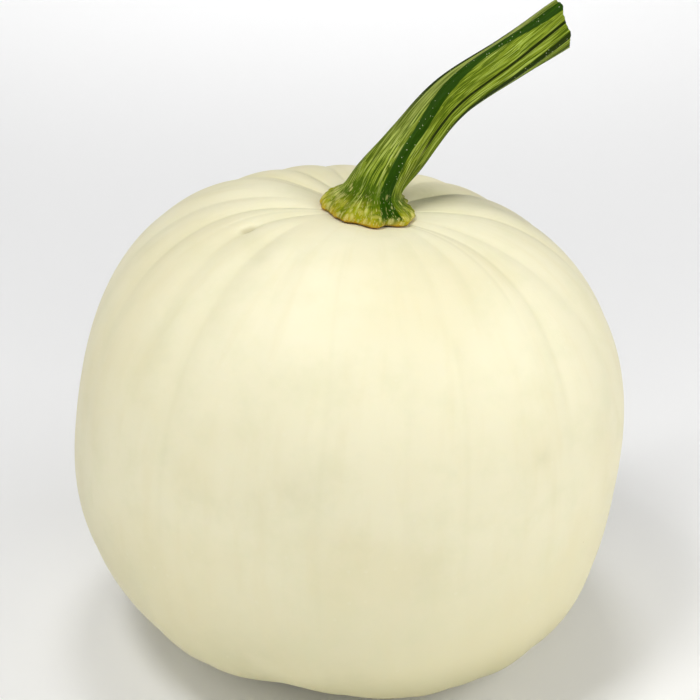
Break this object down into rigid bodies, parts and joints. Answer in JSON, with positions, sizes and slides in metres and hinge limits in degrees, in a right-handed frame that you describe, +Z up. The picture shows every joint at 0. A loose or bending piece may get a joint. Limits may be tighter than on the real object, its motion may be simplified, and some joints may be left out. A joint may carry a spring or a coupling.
{
  "type": "pumpkin",
  "caption": "White ribbed pumpkin on a flattened underside, with a long curved ridged stem that spreads into toes on the crown and ends in a slanting cut.",
  "frame": {"origin": "centre of the bounding box on the surface the pumpkin stands on", "axes": "+Z up, -Y towards the side that the picture shows, +X towards the side that the stem leans to"},
  "size_m": [0.2452, 0.2425, 0.2891],
  "materials": {
    "ivory_skin": "smooth waxy ivory rind with a soft satin sheen",
    "green_stem": "fibrous green stem with dark satin bands on its ridges"
  },
  "bodies": {
    "root": {"fruit": "ivory_skin", "stem": "green_stem"}
  },
  "joints": []
}
